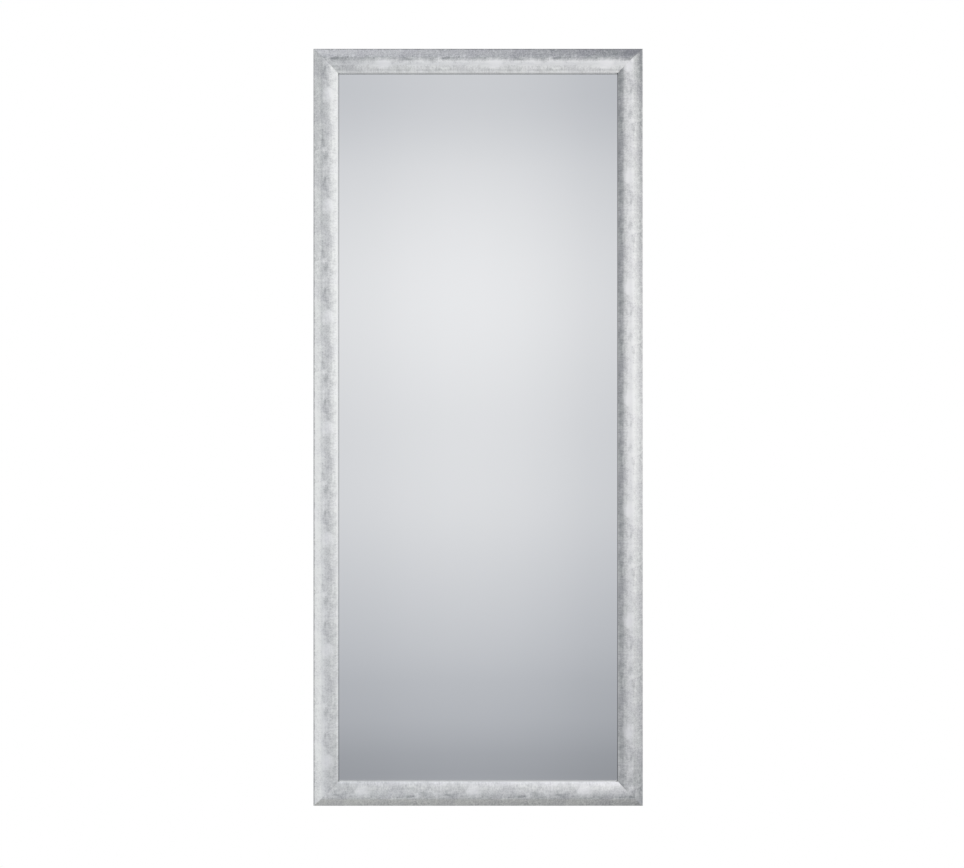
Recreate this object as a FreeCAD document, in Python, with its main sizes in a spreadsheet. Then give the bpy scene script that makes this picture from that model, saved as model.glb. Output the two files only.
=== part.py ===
import FreeCAD, Part
import math
import os

import Sketcher

# Tall framed wall mirror, as it hangs: a mitred silver moulding round a silvered pane, with a
# foam sheet and a backing board behind it, two ring hangers and four bumpers.
#
# Frame of the model: X runs to the right as seen from the front, Y runs from the front to the
# wall, Z runs up. The origin is the centre of the outline, in the plane of the wall.
#
# Lengths are in millimetres. The sheet holds every size that can be set by itself.

SIZES = {
    # Silvered pane
    "pane_width": 600,
    "pane_height": 1500,
    "pane_thickness": 4,
    "pane_play": 1,
    "pane_seam": 0.5,
    # Moulding, as its section is drawn
    "profile_width": 52.5,
    "profile_depth": 28,
    "edge_height": 13.5,
    "bevel_width": 19,
    "crest_inset": 25,
    "rebate_width": 7,
    "rebate_depth": 12,
    "lip_thickness": 6.4,
    "arris_radius": 2.5,
    "crest_blend": 15,
    "lip_radius": 2,
    "back_chamfer": 1,
    # Sheets behind the pane
    "foam_thickness": 1,
    "foam_play": 3,
    "board_thickness": 3,
    "board_play": 2,
    # Edge packers that centre the pane in the rebate
    "packer_length": 30,
    "packer_setback": 210,
    # Glazing points that hold the board
    "point_width": 9,
    "point_thickness": 0.6,
    "point_exposed": 8,
    "point_buried": 9,
    "point_taper": 4,
    "point_setback": 125,
    "points_per_long_rail": 7,
    "points_per_short_rail": 3,
    # Corner nails, driven flush from the back across each mitre
    "nail_height": 10,
    "nail_leg": 8,
    "nail_thickness": 0.6,
    "nail_first_inset": 10,
    "nail_pitch": 15,
    # Ring of each hanger, whose round wire is drawn with flats
    "wire_radius": 1.5,
    "wire_flats": 12,
    "ring_inner_width": 20,
    "ring_corner_radius": 3.5,
    "ring_straight": 2.5,
    # Strap of each hanger
    "strap_width": 15,
    "strap_thickness": 1.2,
    "strap_end_margin": 8,
    "strap_end_radius": 6,
    "leaf_gap": 0.15,
    "neck_radius": 2,
    "eye_play": 0.08,
    "hole_radius": 2.1,
    "hole_drop": 10.5,
    "hole_pitch": 20.5,
    # Screws of each hanger
    "screw_head_radius": 3.5,
    "screw_head_height": 2.2,
    "screw_shank_radius": 1.75,
    "screw_length": 16,
    "screw_point": 4,
    # Place of the hangers, from the top edge down to the ring's axis
    "hanger_drop": 300,
    # Bumpers
    "bumper_height": 6.5,
    "bumper_radius": 8,
    "bumper_setback": 75,
    # How far a cut runs past what it cuts
    "overrun": 2,
}

# Sizes that follow from the sheet
REBATE_OPENING_WIDTH = "(size.pane_width + 2 * size.pane_play)"
REBATE_OPENING_HEIGHT = "(size.pane_height + 2 * size.pane_play)"
BACK_FACE_WIDTH = "(size.profile_width - size.rebate_width)"
OUTER_WIDTH = f"({REBATE_OPENING_WIDTH} + 2 * {BACK_FACE_WIDTH})"
OUTER_HEIGHT = f"({REBATE_OPENING_HEIGHT} + 2 * {BACK_FACE_WIDTH})"
BACK_Y = "(-size.bumper_height)"
LEDGE_Y = f"({BACK_Y} - size.rebate_depth)"
PANE_BACK_Y = f"({LEDGE_Y} + size.pane_thickness)"
FOAM_BACK_Y = f"({PANE_BACK_Y} + size.foam_thickness)"
BOARD_BACK_Y = f"({FOAM_BACK_Y} + size.board_thickness)"
LEAVES = "(2 * size.strap_thickness + size.leaf_gap)"
EYE_INNER = "(size.wire_radius + size.eye_play)"
EYE_MIDDLE = f"({EYE_INNER} + size.strap_thickness / 2)"
EYE_OUTER = f"({EYE_INNER} + size.strap_thickness)"
MID_BACK_X = f"({OUTER_WIDTH} - {BACK_FACE_WIDTH}) / 2"
MID_BACK_Z = f"({OUTER_HEIGHT} - {BACK_FACE_WIDTH}) / 2"

# Sides and corners, clockwise from the top as seen from the front: each is a quarter turn on
# from the one before it
SIDES = ["top", "right", "bottom", "left"]
CORNERS = ["top_right", "bottom_right", "bottom_left", "top_left"]

# Long sides that carry a hanger
HANGERS = ["left", "right"]


def make_sheet():
    """Spreadsheet of the driving dimensions, one alias for each."""
    sheet = doc.addObject("Spreadsheet::Sheet", "size")
    for row, (alias, number) in enumerate(SIZES.items(), start=1):
        sheet.set(f"A{row}", alias)
        sheet.set(f"B{row}", str(number))
        sheet.setAlias(f"B{row}", alias)
    doc.recompute()
    return sheet


def value(expression):
    """Number that an expression of the sheet has now."""
    return float(sizes.evalExpression(expression))


def bind(item, **expressions):
    """Ties properties of an object to expressions of the sheet."""
    for name, expression in expressions.items():
        item.setExpression(name, expression)


def place(item, x, y, z, quarter_turns=0):
    """Turns an object about Y and ties its place to the sheet."""
    item.Placement.Rotation = FreeCAD.Rotation(
        FreeCAD.Vector(0, 1, 0), math.degrees(quarter_turns * math.pi / 2)
    )
    for axis, expression in (("x", x), ("y", y), ("z", z)):
        item.setExpression(f"Placement.Base.{axis}", expression)


def place_on_side(item, side, y):
    """Puts an object drawn for the top rail on the named side; its own Z points outwards."""
    x = {"left": f"-{OUTER_WIDTH} / 2", "right": f"{OUTER_WIDTH} / 2"}.get(side, "0")
    z = {"bottom": f"-{OUTER_HEIGHT} / 2", "top": f"{OUTER_HEIGHT} / 2"}.get(side, "0")
    place(item, x, y, z, SIDES.index(side))


def place_at_corner(item, corner, reach_x, y, reach_z, quarter_turns=0):
    """Puts an object at a distance from both middle planes, towards the named corner."""
    x = reach_x if "right" in corner else f"-({reach_x})"
    z = reach_z if "top" in corner else f"-({reach_z})"
    place(item, x, y, z, quarter_turns)


def is_short(side):
    """Whether a side runs across, not up."""
    return side in ("top", "bottom")


def outer_length(side):
    """Length of a side along its outer edge."""
    return OUTER_WIDTH if is_short(side) else OUTER_HEIGHT


def origin_feature(body, role):
    """Plane or axis of a body's own origin."""
    return next(f for f in body.Origin.OriginFeatures if f.Role == role)


def new_body(label):
    """Empty body that carries one sub-part."""
    body = doc.addObject("PartDesign::Body", label)
    body.Label = label
    return body


def new_sketch(body, plane, name):
    """Sketch on one of the body's origin planes."""
    sketch = body.newObject("Sketcher::SketchObject", name)
    sketch.AttachmentSupport = [(origin_feature(body, plane), "")]
    sketch.MapMode = "FlatFace"
    return sketch


def new_feature(body, kind, name, **properties):
    """Feature of a body with its plain properties set."""
    feature = body.newObject(f"PartDesign::{kind}", name)
    for key, setting in properties.items():
        setattr(feature, key, setting)
    return feature


def pin(sketch, edge, end, corner):
    """Fixes one end of an edge at a corner written in sizes of the sheet."""
    for kind, expression in zip(("DistanceX", "DistanceY"), corner):
        index = sketch.addConstraint(
            Sketcher.Constraint(kind, -1, 1, edge, end, value(expression))
        )
        if expression != "0":
            sketch.setExpression(f"Constraints[{index}]", expression)


def arc_between(start, stop, centre, left_turn):
    """Arc about a centre from start to stop, and the numbers of its ends in that order."""
    radius = math.dist(start, centre)
    angles = [math.atan2(y - centre[1], x - centre[0]) for x, y in (start, stop)]
    if not left_turn:
        angles.reverse()
    circle = Part.Circle(FreeCAD.Vector(*centre, 0), FreeCAD.Vector(0, 0, 1), radius)
    arc = Part.ArcOfCircle(circle, *angles)
    return arc, (1, 2) if left_turn else (2, 1)


def draw_outline(sketch, corners, arcs=None):
    """Closed outline through corners. arcs gives, for the edge that leaves a corner, its
    radius, its centre and whether it turns left; the other edges are straight."""
    arcs = arcs or {}
    places = [tuple(value(c) for c in corner) for corner in corners]
    first = sketch.GeometryCount
    ends = []
    for i, start in enumerate(places):
        stop = places[(i + 1) % len(places)]
        if i in arcs:
            _, centre, left_turn = arcs[i]
            edge, order = arc_between(start, stop, [value(c) for c in centre], left_turn)
        else:
            edge = Part.LineSegment(FreeCAD.Vector(*start, 0), FreeCAD.Vector(*stop, 0))
            order = (1, 2)
        sketch.addGeometry(edge, False)
        ends.append(order)
    for i, order in enumerate(ends):
        following = (i + 1) % len(ends)
        sketch.addConstraint(
            Sketcher.Constraint(
                "Coincident", first + i, order[1], first + following, ends[following][0]
            )
        )
        pin(sketch, first + i, order[0], corners[i])
    for i, (radius, _, _) in arcs.items():
        index = sketch.addConstraint(
            Sketcher.Constraint("Radius", first + i, value(radius))
        )
        sketch.setExpression(f"Constraints[{index}]", radius)


def draw_rectangle(sketch, left, bottom, right, top):
    """Closed rectangle between four expressions."""
    draw_outline(sketch, [(left, bottom), (right, bottom), (right, top), (left, top)])


def draw_circle(sketch, centre, radius):
    """Circle whose centre and radius are expressions."""
    middle = FreeCAD.Vector(*[value(c) for c in centre], 0)
    circle = Part.Circle(middle, FreeCAD.Vector(0, 0, 1), value(radius))
    edge = sketch.addGeometry(circle, False)
    pin(sketch, edge, 3, centre)
    index = sketch.addConstraint(Sketcher.Constraint("Radius", edge, value(radius)))
    sketch.setExpression(f"Constraints[{index}]", radius)


# Numerical room for comparing two computed lengths
SAME = 1e-4


def edges_along(feature, direction, keep):
    """Names of a feature's straight edges that run along a direction and that keep accepts."""
    names = []
    for number, edge in enumerate(feature.Shape.Edges, start=1):
        run = edge.Vertexes[-1].Point - edge.Vertexes[0].Point
        if run.Length == 0 or edge.Curve.TypeId != "Part::GeomLine":
            continue
        if run.cross(direction).Length < SAME * run.Length and keep(edge.CenterOfMass):
            names.append(f"Edge{number}")
    return names


def repeat_along(body, feature, axis, length, occurrences, backwards=False):
    """Copies a body's last feature in a row."""
    row = new_feature(body, "LinearPattern", "row", Originals=[feature], Reversed=backwards)
    row.Direction = (origin_feature(body, axis), [""])
    bind(row, Length=length, Occurrences=occurrences)
    body.Tip = row


def section_corners():
    """Corners of the moulding's section, from the outer back edge round to the rebate, and the
    arc of its crown. Each corner is (Y, Z): forward and inward are both negative."""
    lip_y = "-(size.rebate_depth + size.lip_thickness)"
    lip_reach = "(size.profile_width - size.crest_inset)"
    crown_drop = f"(size.profile_depth + {lip_y})"
    crown_radius = f"(({lip_reach} ^ 2 / {crown_drop} + {crown_drop}) / 2)"
    crown_y = f"({crown_radius} - size.profile_depth)"
    crest_reach = "(size.crest_inset - size.bevel_width)"
    brow = f"{crown_y} - sqrt({crown_radius} ^ 2 - {crest_reach} ^ 2)"
    corners = [
        ("0", "0"),
        ("-size.edge_height", "0"),
        (brow, "-size.bevel_width"),
        (lip_y, "-size.profile_width"),
        ("-size.rebate_depth", "-size.profile_width"),
        ("-size.rebate_depth", f"-{BACK_FACE_WIDTH}"),
        ("0", f"-{BACK_FACE_WIDTH}"),
    ]
    crown = (crown_radius, (crown_y, "-size.crest_inset"), True)
    return corners, {2: crown}


def soften(body, feature, kind, name, size, corner, **properties):
    """Rounds or bevels the long edge of the moulding that runs through a corner."""
    y, z = [value(c) for c in corner]

    def at_corner(point):
        return math.hypot(point.y - y, point.z - z) < SAME

    edges = edges_along(feature, FreeCAD.Vector(1, 0, 0), at_corner)
    softened = new_feature(body, kind, name, Base=(feature, edges), **properties)
    bind(softened, **{"Size" if kind == "Chamfer" else "Radius": size})
    doc.recompute()
    return softened


def make_moulding(side):
    """Length of moulding with both ends mitred, before anything is driven into it."""
    length = outer_length(side)
    body = new_body(f"moulding_{side}")
    section = new_sketch(body, "YZ_Plane", "section")
    corners, arcs = section_corners()
    draw_outline(section, corners, arcs)
    run = new_feature(body, "Pad", "run", Profile=section, Midplane=True)
    bind(run, Length=length)
    doc.recompute()
    arris = soften(body, run, "Fillet", "arris", "size.arris_radius", corners[1])
    crest = soften(body, arris, "Fillet", "crest", "size.crest_blend", corners[2])
    lip = soften(body, crest, "Fillet", "lip", "size.lip_radius", corners[3])
    soften(body, lip, "Chamfer", "back_edge", "size.back_chamfer", corners[0])
    mitres = new_sketch(body, "XZ_Plane", "mitres")
    for sign in ("", "-"):
        far = f"{sign}({length} / 2 + size.overrun)"
        near = f"{sign}({length} / 2 - size.profile_width - size.overrun)"
        deep = "-(size.profile_width + size.overrun)"
        draw_outline(mitres, [(far, "size.overrun"), (near, deep), (far, deep)])
    new_feature(body, "Pocket", "mitre_cuts", Profile=mitres, Midplane=True, Type="ThroughAll")
    place_on_side(body, side, BACK_Y)
    return body


def make_corner_nails(corner):
    """Two angle nails across one mitre, flush with the back of the moulding."""
    body = new_body(f"corner_nails_{corner}")
    plan = new_sketch(body, "XZ_Plane", "plan")
    for inset in ("size.nail_first_inset", "(size.nail_first_inset + size.nail_pitch)"):
        outer = f"-{inset}"
        inner = f"-({inset} + size.nail_thickness)"
        end = f"-({inset} + size.nail_leg)"
        draw_outline(
            plan,
            [(outer, outer), (end, outer), (end, inner), (inner, inner), (inner, end), (outer, end)],
        )
    drive = new_feature(body, "Pad", "drive", Profile=plan)
    bind(drive, Length="size.nail_height")
    turns = CORNERS.index(corner)
    place_at_corner(body, corner, f"{OUTER_WIDTH} / 2", BACK_Y, f"{OUTER_HEIGHT} / 2", turns)
    return body


def make_slab(label, width, height, thickness, back_y):
    """Flat sheet centred on the mirror, and the pad that makes it."""
    body = new_body(label)
    plan = new_sketch(body, "XZ_Plane", "plan")
    draw_rectangle(
        plan, f"-{width} / 2", f"-{height} / 2", f"{width} / 2", f"{height} / 2"
    )
    sheet = new_feature(body, "Pad", "thickness", Profile=plan)
    bind(sheet, Length=thickness)
    place(body, "0", back_y, "0")
    doc.recompute()
    return body, sheet


def make_pane():
    """Silvered pane with seamed front and back edges."""
    body, sheet = make_slab(
        "mirror_pane", "size.pane_width", "size.pane_height", "size.pane_thickness", PANE_BACK_Y
    )
    rims = []
    for direction in (FreeCAD.Vector(1, 0, 0), FreeCAD.Vector(0, 0, 1)):
        rims += edges_along(sheet, direction, lambda point: True)
    seams = new_feature(body, "Chamfer", "seams", Base=(sheet, rims))
    bind(seams, Size="size.pane_seam")
    return body


def make_foam():
    """Thin foam sheet that keeps the board off the silvering."""
    body, _ = make_slab(
        "foam_interlayer",
        "(size.pane_width - 2 * size.foam_play)",
        "(size.pane_height - 2 * size.foam_play)",
        "size.foam_thickness",
        FOAM_BACK_Y,
    )
    return body


def make_board():
    """Hardboard panel that closes the back."""
    body, _ = make_slab(
        "backing_board",
        f"({REBATE_OPENING_WIDTH} - 2 * size.board_play)",
        f"({REBATE_OPENING_HEIGHT} - 2 * size.board_play)",
        "size.board_thickness",
        BOARD_BACK_Y,
    )
    return body


def make_packers(side):
    """Two packers between the pane's edge and one rebate wall."""
    body = new_body(f"edge_packers_{side}")
    span = f"({outer_length(side)} - 2 * size.packer_setback)"
    plan = new_sketch(body, "XZ_Plane", "plan")
    draw_rectangle(
        plan,
        f"-({span} + size.packer_length) / 2",
        f"-({BACK_FACE_WIDTH} + size.pane_play)",
        f"-({span} - size.packer_length) / 2",
        f"-{BACK_FACE_WIDTH}",
    )
    block = new_feature(body, "Pad", "block", Profile=plan)
    bind(block, Length="size.pane_thickness")
    repeat_along(body, block, "X_Axis", span, "2")
    place_on_side(body, side, PANE_BACK_Y)
    return body


def make_points(side):
    """Row of glazing points, driven into one rebate wall behind the board."""
    body = new_body(f"glazing_points_{side}")
    span = f"({outer_length(side)} - 2 * size.point_setback)"
    tip = f"-({BACK_FACE_WIDTH} - size.point_buried)"
    shoulder = f"({tip} - size.point_taper)"
    inside = f"-({BACK_FACE_WIDTH} + size.point_exposed)"
    left = f"-({span} + size.point_width) / 2"
    right = f"-({span} - size.point_width) / 2"
    plan = new_sketch(body, "XZ_Plane", "plan")
    draw_outline(
        plan,
        [(left, inside), (right, inside), (right, shoulder), (f"-{span} / 2", tip), (left, shoulder)],
    )
    tab = new_feature(body, "Pad", "tab", Profile=plan)
    bind(tab, Length="size.point_thickness")
    count = "size.points_per_short_rail" if is_short(side) else "size.points_per_long_rail"
    repeat_along(body, tab, "X_Axis", span, count)
    place_on_side(body, side, f"{BOARD_BACK_Y} + size.point_thickness")
    return body


def place_as_hanger(item, hanger, y, drop="0"):
    """Puts an object drawn round a ring's axis on a long rail, or a distance below that."""
    x = MID_BACK_X if hanger == "right" else f"-{MID_BACK_X}"
    place(item, x, y, f"{OUTER_HEIGHT} / 2 - size.hanger_drop - {drop}")


def make_strap(hanger):
    """Steel strip folded round the ring's wire into two leaves, with two screw holes. Its
    section is (Y, Z): the eye sits at the top and both leaves run down from it."""
    bend_y = f"({LEAVES} + size.neck_radius - size.strap_thickness / 2)"
    lean = f"({bend_y} - {EYE_OUTER})"
    reach = f"({EYE_MIDDLE} + size.neck_radius)"
    drop = f"sqrt({reach} ^ 2 - {lean} ^ 2)"
    foot = "-(size.hole_drop + size.hole_pitch + size.strap_end_margin)"
    inner_leaf = "(size.strap_thickness + size.leaf_gap)"
    neck_outer = "(size.neck_radius - size.strap_thickness / 2)"
    neck_inner = "(size.neck_radius + size.strap_thickness / 2)"
    eye = (EYE_OUTER, "0")
    bend = (bend_y, f"-{drop}")

    def neck(radius):
        """Point where the eye's circle of a radius meets the neck's."""
        return f"{EYE_OUTER} + {radius} * {lean} / {reach}", f"-{radius} * {drop} / {reach}"

    corners = [
        ("0", foot),
        ("0", "0"),
        neck(EYE_OUTER),
        (LEAVES, f"-{drop}"),
        (LEAVES, foot),
        (inner_leaf, foot),
        (inner_leaf, f"-{drop}"),
        neck(EYE_INNER),
        ("size.strap_thickness", "0"),
        ("size.strap_thickness", foot),
    ]
    arcs = {
        1: (EYE_OUTER, eye, False),
        2: (neck_outer, bend, True),
        6: (neck_inner, bend, False),
        7: (EYE_INNER, eye, True),
    }
    body = new_body(f"hanger_strap_{hanger}")
    section = new_sketch(body, "YZ_Plane", "section")
    draw_outline(section, corners, arcs)
    strip = new_feature(body, "Pad", "strip", Profile=section, Midplane=True)
    bind(strip, Length="size.strap_width")
    doc.recompute()
    low = value(foot)
    ends = edges_along(strip, FreeCAD.Vector(0, 1, 0), lambda point: abs(point.z - low) < SAME)
    rounding = new_feature(body, "Fillet", "rounded_ends", Base=(strip, ends))
    bind(rounding, Radius="size.strap_end_radius")
    holes = new_sketch(body, "XZ_Plane", "holes")
    for drop_of_hole in ("size.hole_drop", "(size.hole_drop + size.hole_pitch)"):
        draw_circle(holes, ("0", f"-{drop_of_hole}"), "size.hole_radius")
    new_feature(body, "Pocket", "screw_holes", Profile=holes, Midplane=True, Type="ThroughAll")
    place_as_hanger(body, hanger, BACK_Y)
    return body


def make_ring(hanger):
    """Wire ring with a straight bar that turns in the strap's eye. Its own X is the hinge."""
    half = "(size.ring_inner_width / 2 + size.wire_radius)"
    bar = f"({half} - size.ring_corner_radius)"
    shoulder = "(size.ring_corner_radius + size.ring_straight)"
    body = new_body(f"hanger_ring_{hanger}")
    path = new_sketch(body, "XZ_Plane", "path")
    corners = [
        ("0", "0"),
        (bar, "0"),
        (half, "size.ring_corner_radius"),
        (half, shoulder),
        ("0", f"{shoulder} + {half}"),
        (f"-{half}", shoulder),
        (f"-{half}", "size.ring_corner_radius"),
        (f"-{bar}", "0"),
    ]
    arcs = {
        1: ("size.ring_corner_radius", (bar, "size.ring_corner_radius"), True),
        3: (half, ("0", shoulder), True),
        4: (half, ("0", shoulder), True),
        6: ("size.ring_corner_radius", (f"-{bar}", "size.ring_corner_radius"), True),
    }
    draw_outline(path, corners, arcs)
    wire = new_sketch(body, "YZ_Plane", "wire")
    flats = [f"({n} * 360 / size.wire_flats)" for n in range(sizes.wire_flats)]
    draw_outline(
        wire, [(f"size.wire_radius * cos{f}", f"size.wire_radius * sin{f}") for f in flats]
    )
    new_feature(body, "AdditivePipe", "ring", Profile=wire, Spine=(path, [""]))
    place_as_hanger(body, hanger, f"{BACK_Y} + {EYE_OUTER}")
    return body


def make_screws(hanger):
    """Two screws, seated on the strap, whose heads' tops are at Y = 0."""
    body = new_body(f"hanger_screws_{hanger}")
    section = new_sketch(body, "XY_Plane", "section")
    seat = "-size.screw_head_height"
    tip = f"({seat} - size.screw_length)"
    draw_outline(
        section,
        [
            ("0", "0"),
            ("0", tip),
            ("size.screw_shank_radius", f"{tip} + size.screw_point"),
            ("size.screw_shank_radius", seat),
            ("size.screw_head_radius", seat),
            ("size.screw_head_radius", "0"),
        ],
    )
    turned = new_feature(body, "Revolution", "turned", Profile=section)
    turned.ReferenceAxis = (section, ["V_Axis"])
    doc.recompute()
    repeat_along(body, turned, "Z_Axis", "size.hole_pitch", "2", backwards=True)
    heads_y = f"{BACK_Y} + {LEAVES} + size.screw_head_height"
    place_as_hanger(body, hanger, heads_y, "size.hole_drop")
    return body


def make_bumper(corner):
    """Soft bumper that stands the frame off the wall; its face lies in the wall plane."""
    body = new_body(f"wall_bumper_{corner}")
    plan = new_sketch(body, "XZ_Plane", "plan")
    draw_circle(plan, ("0", "0"), "size.bumper_radius")
    disc = new_feature(body, "Pad", "disc", Profile=plan)
    bind(disc, Length="size.bumper_height")
    place_at_corner(body, corner, f"{OUTER_WIDTH} / 2 - size.bumper_setback", "0", MID_BACK_Z)
    return body


def make_rail(side, moulding, driven):
    """Moulding with the slots and holes of what is driven into it."""
    group = doc.addObject("Part::Compound", f"driven_{side}")
    group.Links = driven
    rail = doc.addObject("Part::Cut", f"frame_rail_{side}")
    rail.Label = f"frame_rail_{side}"
    rail.Base = moulding
    rail.Tool = group
    return rail


def make_mirror():
    """Every sub-part, in the order of assembly from the front."""
    nails = {corner: make_corner_nails(corner) for corner in CORNERS}
    points = {side: make_points(side) for side in SIDES}
    screws = {hanger: make_screws(hanger) for hanger in HANGERS}
    doc.recompute()
    rails = []
    for side in SIDES:
        driven = [nails[corner] for corner in CORNERS if side in corner]
        driven.append(points[side])
        if side in HANGERS:
            driven.append(screws[side])
        rails.append(make_rail(side, make_moulding(side), driven))
    parts = rails + list(nails.values())
    parts += [make_pane(), make_foam(), make_board()]
    parts += [make_packers(side) for side in SIDES]
    parts += list(points.values())
    for hanger in HANGERS:
        parts += [make_strap(hanger), make_ring(hanger), screws[hanger]]
    parts += [make_bumper(corner) for corner in CORNERS]
    return parts


def check(parts):
    """Stops if an object failed, or a sub-part is not made of closed solids."""
    for item in doc.Objects:
        if {"Invalid", "Error"} & set(item.State):
            raise RuntimeError(f"{item.Label} did not build: {item.State}")
        if item.TypeId == "Sketcher::SketchObject" and not item.FullyConstrained:
            body = item.getParentGeoFeatureGroup()
            raise RuntimeError(f"sketch {item.Label} of {body.Label} is free")
    for part in parts:
        shape = part.Shape
        if shape.isNull() or not shape.isValid() or not shape.Solids:
            raise RuntimeError(f"{part.Label} has no valid solid")


def export(parts):
    """One STEP file for each sub-part, named after its label."""
    os.makedirs("parts", exist_ok=True)
    for part in parts:
        part.Shape.exportStep(os.path.join("parts", f"{part.Label}.step"))


doc = FreeCAD.newDocument("wall_mirror")
sizes = make_sheet()
mirror = make_mirror()
doc.recompute()
check(mirror)
export(mirror)
for piece in mirror:
    box = piece.Shape.BoundBox
    print(
        f"{piece.Label}: {len(piece.Shape.Solids)} solids, {piece.Shape.Volume:.1f} mm3, "
        f"X {box.XMin:.2f}..{box.XMax:.2f}, Y {box.YMin:.2f}..{box.YMax:.2f}, "
        f"Z {box.ZMin:.2f}..{box.ZMax:.2f}"
    )
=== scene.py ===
import math

import bmesh
import bpy
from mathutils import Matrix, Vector


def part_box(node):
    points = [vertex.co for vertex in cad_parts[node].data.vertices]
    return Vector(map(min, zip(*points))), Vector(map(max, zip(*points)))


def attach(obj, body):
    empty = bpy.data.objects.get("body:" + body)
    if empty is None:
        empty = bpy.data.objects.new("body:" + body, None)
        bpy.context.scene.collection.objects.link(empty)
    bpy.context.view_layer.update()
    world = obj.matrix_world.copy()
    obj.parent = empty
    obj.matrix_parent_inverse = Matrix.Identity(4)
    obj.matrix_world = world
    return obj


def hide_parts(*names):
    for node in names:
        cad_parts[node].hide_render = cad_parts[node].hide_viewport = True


# Dressed model of a tall framed wall mirror. Lengths are in metres, in the frame of the CAD: X runs
# to the right as seen from the front, Y from the front to the wall, Z up.

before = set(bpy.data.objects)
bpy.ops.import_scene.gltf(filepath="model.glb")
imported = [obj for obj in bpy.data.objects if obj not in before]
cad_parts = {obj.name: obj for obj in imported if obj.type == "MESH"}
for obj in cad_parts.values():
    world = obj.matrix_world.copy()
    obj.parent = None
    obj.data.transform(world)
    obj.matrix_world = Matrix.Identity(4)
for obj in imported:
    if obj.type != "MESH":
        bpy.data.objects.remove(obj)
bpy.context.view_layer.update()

MM = 0.001
X, Y, Z = Vector((1, 0, 0)), Vector((0, 1, 0)), Vector((0, 0, 1))

# Outline and depths that the CAD nodes give, the depths being measured forwards from the wall. The
# back is drawn a hair deeper, so that the corner nails stand clear of it.
rail_low, rail_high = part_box("frame_rail_top")
HALF_WIDTH, HALF_HEIGHT = rail_high.x, rail_high.z
PROFILE_WIDTH = rail_high.z - rail_low.z
BACK_DEPTH = -rail_high.y + 0.03 * MM
LEDGE_DEPTH = -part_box("mirror_pane")[0].y

# Sides, clockwise from the top: which way is outwards, and which way is along
SIDES = {
    "top": (Z, X),
    "right": (X, -Z),
    "bottom": (-Z, -X),
    "left": (-X, Z),
}
UPRIGHT = ("left", "right")
CORNERS = ["top_right", "bottom_right", "bottom_left", "top_left"]
HANGERS = ["left", "right"]


def side_reach(side):
    """How far a side's outer edge lies from the middle, and half the side's length."""
    return (HALF_WIDTH, HALF_HEIGHT) if side in UPRIGHT else (HALF_HEIGHT, HALF_WIDTH)


# Node trees

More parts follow.
